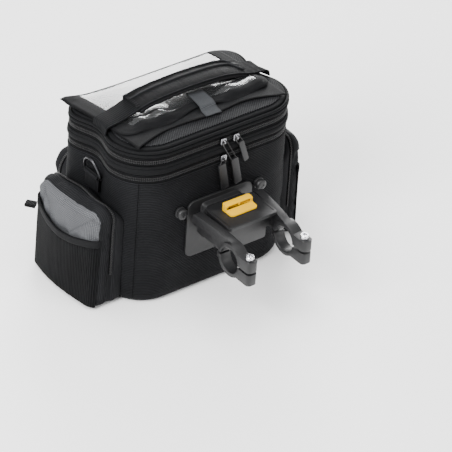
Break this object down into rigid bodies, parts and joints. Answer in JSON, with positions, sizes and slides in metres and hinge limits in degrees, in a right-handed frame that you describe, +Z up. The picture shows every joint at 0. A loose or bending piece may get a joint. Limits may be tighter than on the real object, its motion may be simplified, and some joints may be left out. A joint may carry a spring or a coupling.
{
  "type": "bicycle_handlebar_bag",
  "caption": "Black bicycle handlebar bag with zipped lid, map sleeve, carrying handle, side pockets and a quick release bracket",
  "frame": {"origin": "Middle of the flat base, on the floor.", "axes": "+X rider's right, across the bicycle, +Y the way the bicycle goes, +Z up."},
  "size_m": [0.3183, 0.304, 0.2357],
  "materials": {
    "ribbed_cloth": "matt, finely ribbed across",
    "smooth_cloth": "matt, smooth coated cloth",
    "zip_cloth": "coated zip tape with coil",
    "netting": "diamond net over cloth",
    "webbing": "ribbed woven tape",
    "elastic": "rib knit",
    "grey_tape": "matt cross ribbed",
    "clear_sheet": "clear soft sheet",
    "ring_metal": "dull dark metal",
    "slider_metal": "dark polished",
    "pull_rubber": "soft matt",
    "black_plastic": "fine texture",
    "yellow_plastic": "satin",
    "bolt_steel": "bright zinc"
  },
  "bodies": {
    "bag": {"body_shell": "ribbed_cloth", "side_pocket_left": "ribbed_cloth", "side_pocket_right": "ribbed_cloth", "front_pocket": "ribbed_cloth", "middle_band": "smooth_cloth", "lid_hinge": "smooth_cloth", "lid": "smooth_cloth", "lid_piping": "smooth_cloth", "map_sleeve_back": "smooth_cloth", "map_sleeve_border": "smooth_cloth", "handle_grip": "smooth_cloth", "lower_zip": "zip_cloth", "upper_zip": "zip_cloth", "pocket_zip_left": "zip_cloth", "pocket_zip_right": "zip_cloth", "front_zip": "zip_cloth", "lid_mesh_panel": "netting", "handle_strap": "webbing", "grip_binding": "webbing", "ring_tab_left": "webbing", "ring_tab_right": "webbing", "pocket_loop_left": "webbing", "pocket_loop_right": "webbing", "elastic_binding_left": "webbing", "elastic_binding_right": "webbing", "elastic_pocket_left": "elastic", "elastic_pocket_right": "elastic", "map_tab": "grey_tape", "map_window": "clear_sheet", "slider_upper_left": "slider_metal", "slider_upper_right": "slider_metal", "slider_lower": "slider_metal", "pull_upper_left": "pull_rubber", "pull_upper_right": "pull_rubber", "pull_lower": "pull_rubber", "adapter": "black_plastic", "adapter_boss_left": "black_plastic", "adapter_boss_right": "black_plastic"},
    "bracket": {"bracket_body": "black_plastic", "clamp_jaw_left": "black_plastic", "clamp_jaw_right": "black_plastic", "clamp_bolt_left": "bolt_steel", "clamp_bolt_right": "bolt_steel"},
    "lever": {"release_lever": "yellow_plastic"},
    "ring_left": {"d_ring_left": "ring_metal"},
    "ring_right": {"d_ring_right": "ring_metal"}
  },
  "joints": [
    {"name": "bracket_slide", "type": "slide", "parent": "bag", "child": "bracket", "axis": [0, 0, -1], "range_m": [0, 0.045]},
    {"name": "lever_press", "type": "hinge", "parent": "bracket", "child": "lever", "pos_m": [0, -0.1035, 0.1275], "axis": [-1, 0, 0], "range_deg": [0, 25], "stiffness_Nm_per_rad": 0.05},
    {"name": "ring_right_swing", "type": "hinge", "parent": "bag", "child": "ring_right", "pos_m": [0.1186, 0.008, 0.146], "axis": [0, 1, 0], "range_deg": [-20, 74]},
    {"name": "ring_left_swing", "type": "hinge", "parent": "bag", "child": "ring_left", "pos_m": [-0.1186, 0.008, 0.146], "axis": [0, -1, 0], "range_deg": [-20, 74]}
  ]
}
